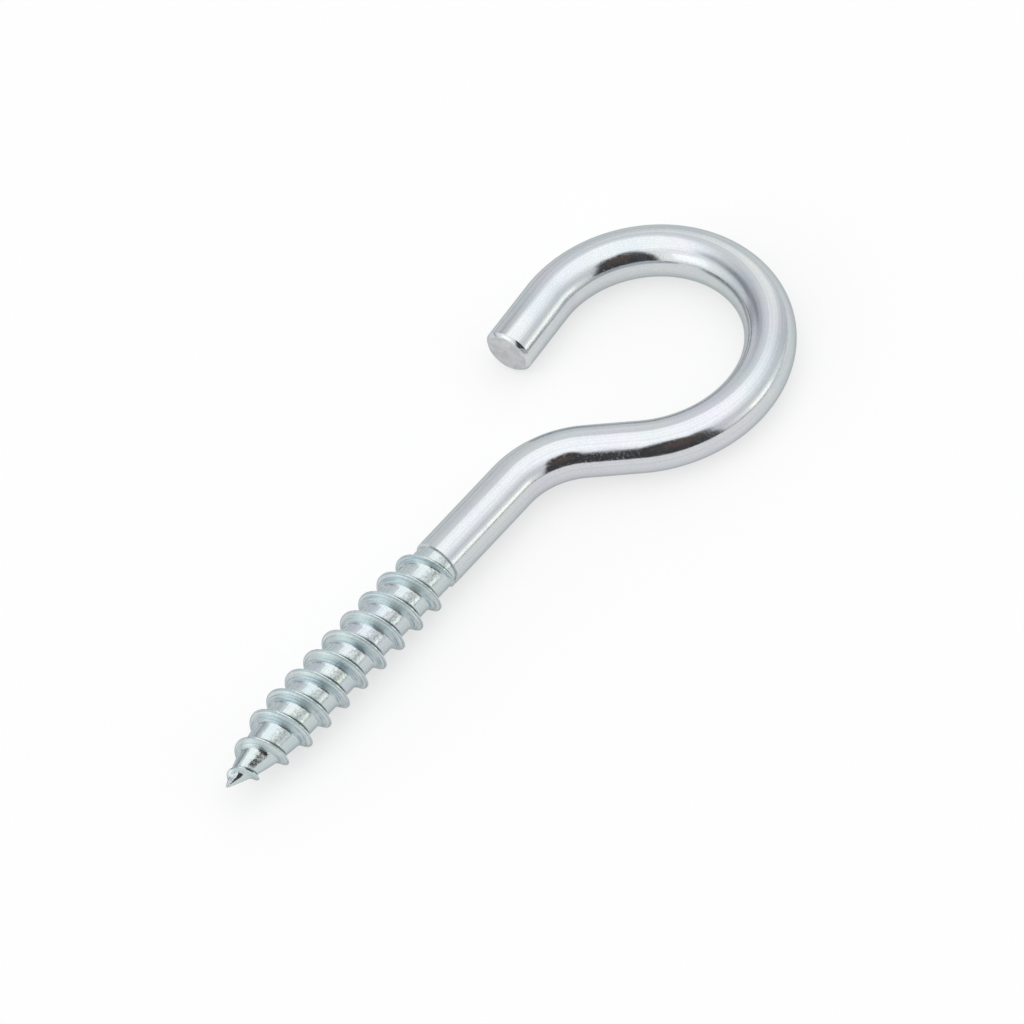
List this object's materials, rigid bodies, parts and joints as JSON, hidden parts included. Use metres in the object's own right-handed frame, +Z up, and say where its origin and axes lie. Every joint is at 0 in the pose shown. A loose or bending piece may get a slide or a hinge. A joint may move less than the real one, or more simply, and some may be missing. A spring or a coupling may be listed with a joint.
{
  "type": "screw hook",
  "caption": "Open-eye screw hook bent from one zinc-plated wire, with a pointed wood-screw thread at one end and an open round eye at the other.",
  "frame": {"origin": "on the ground, under the middle of the hook's box as it lies on its side", "axes": "+X along the screw from its point towards the eye, +Z up, +Y towards the open mouth of the eye"},
  "size_m": [0.1004, 0.0376, 0.0084],
  "materials": {
    "zinc_plate": "bright blue-passivated zinc plate over drawn steel wire, glossy with fine drawing lines"
  },
  "bodies": {
    "root": {"screw_hook": "zinc_plate"}
  },
  "joints": []
}
